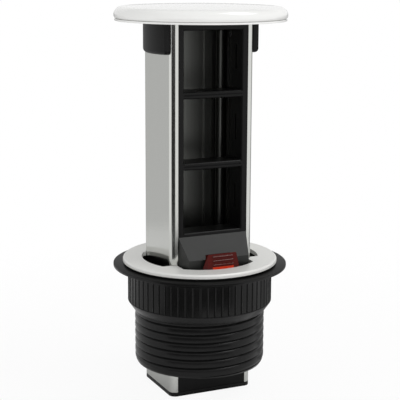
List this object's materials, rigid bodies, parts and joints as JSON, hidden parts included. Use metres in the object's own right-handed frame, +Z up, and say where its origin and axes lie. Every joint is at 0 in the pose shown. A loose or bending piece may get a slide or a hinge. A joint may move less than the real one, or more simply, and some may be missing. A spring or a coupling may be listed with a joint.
{
  "type": "pop up desk socket tower",
  "caption": "Round lidded tower with open module bays that slides up through a flanged, threaded desk collar with a ribbed clamp nut and a red release latch.",
  "frame": {"origin": "barrel axis at the desk top, the plane of the flange's underside", "axes": "+Z up along the barrel, the module bays face -Y, +X to the right seen from the front"},
  "size_m": [0.1276, 0.1276, 0.2837],
  "materials": {
    "white": "glossy white moulded plastic",
    "alu": "satin anodised extrusion",
    "bezel": "satin die-cast ring",
    "black": "fine-textured black moulding",
    "grey": "dark grey moulding",
    "red": "red moulded button",
    "steel": "zinc-plated steel",
    "nylon": "natural nylon",
    "rubber": "black rubber"
  },
  "bodies": {
    "housing": {"mounting_barrel": "black", "bezel_ring": "bezel", "guide_liner": "black", "glide_pads": "nylon", "latch_keeper": "steel", "bezel_screws": "steel"},
    "tower": {"tower_profile": "alu", "module_frame": "black", "lower_panel": "black", "lid_cover": "white", "lid_base": "white", "side_block_left": "black", "side_block_right": "black", "release_housing": "grey", "base_cap": "black", "cable_grommet": "rubber", "latch_spring": "steel", "profile_screws": "steel", "lid_screws": "steel", "block_screws": "steel", "housing_screws": "steel"},
    "latch": {"release_button": "red"},
    "washer": {"clamp_washer": "nylon"},
    "nut": {"clamp_nut": "black"}
  },
  "joints": [
    {"name": "tower_slide", "type": "slide", "parent": "housing", "child": "tower", "axis": [0, 0, 1], "range_m": [-0.1716, 0]},
    {"name": "latch_press", "type": "slide", "parent": "tower", "child": "latch", "axis": [0, 1, 0], "range_m": [0, 0.0026], "stiffness_N_per_m": 800, "springref_m": -0.002, "deforming": ["latch_spring"]},
    {"name": "washer_slide", "type": "slide", "parent": "housing", "child": "washer", "axis": [0, 0, 1], "range_m": [-0.0361, 0]},
    {"name": "nut_turn", "type": "hinge", "parent": "washer", "child": "nut", "pos_m": [0, 0, 0], "axis": [0, 0, 1], "range_deg": [-2088, 0]}
  ],
  "couplings": [
    {"joint": "washer_slide", "follows": "nut_turn", "m_per_rad": 0.00098676}
  ]
}
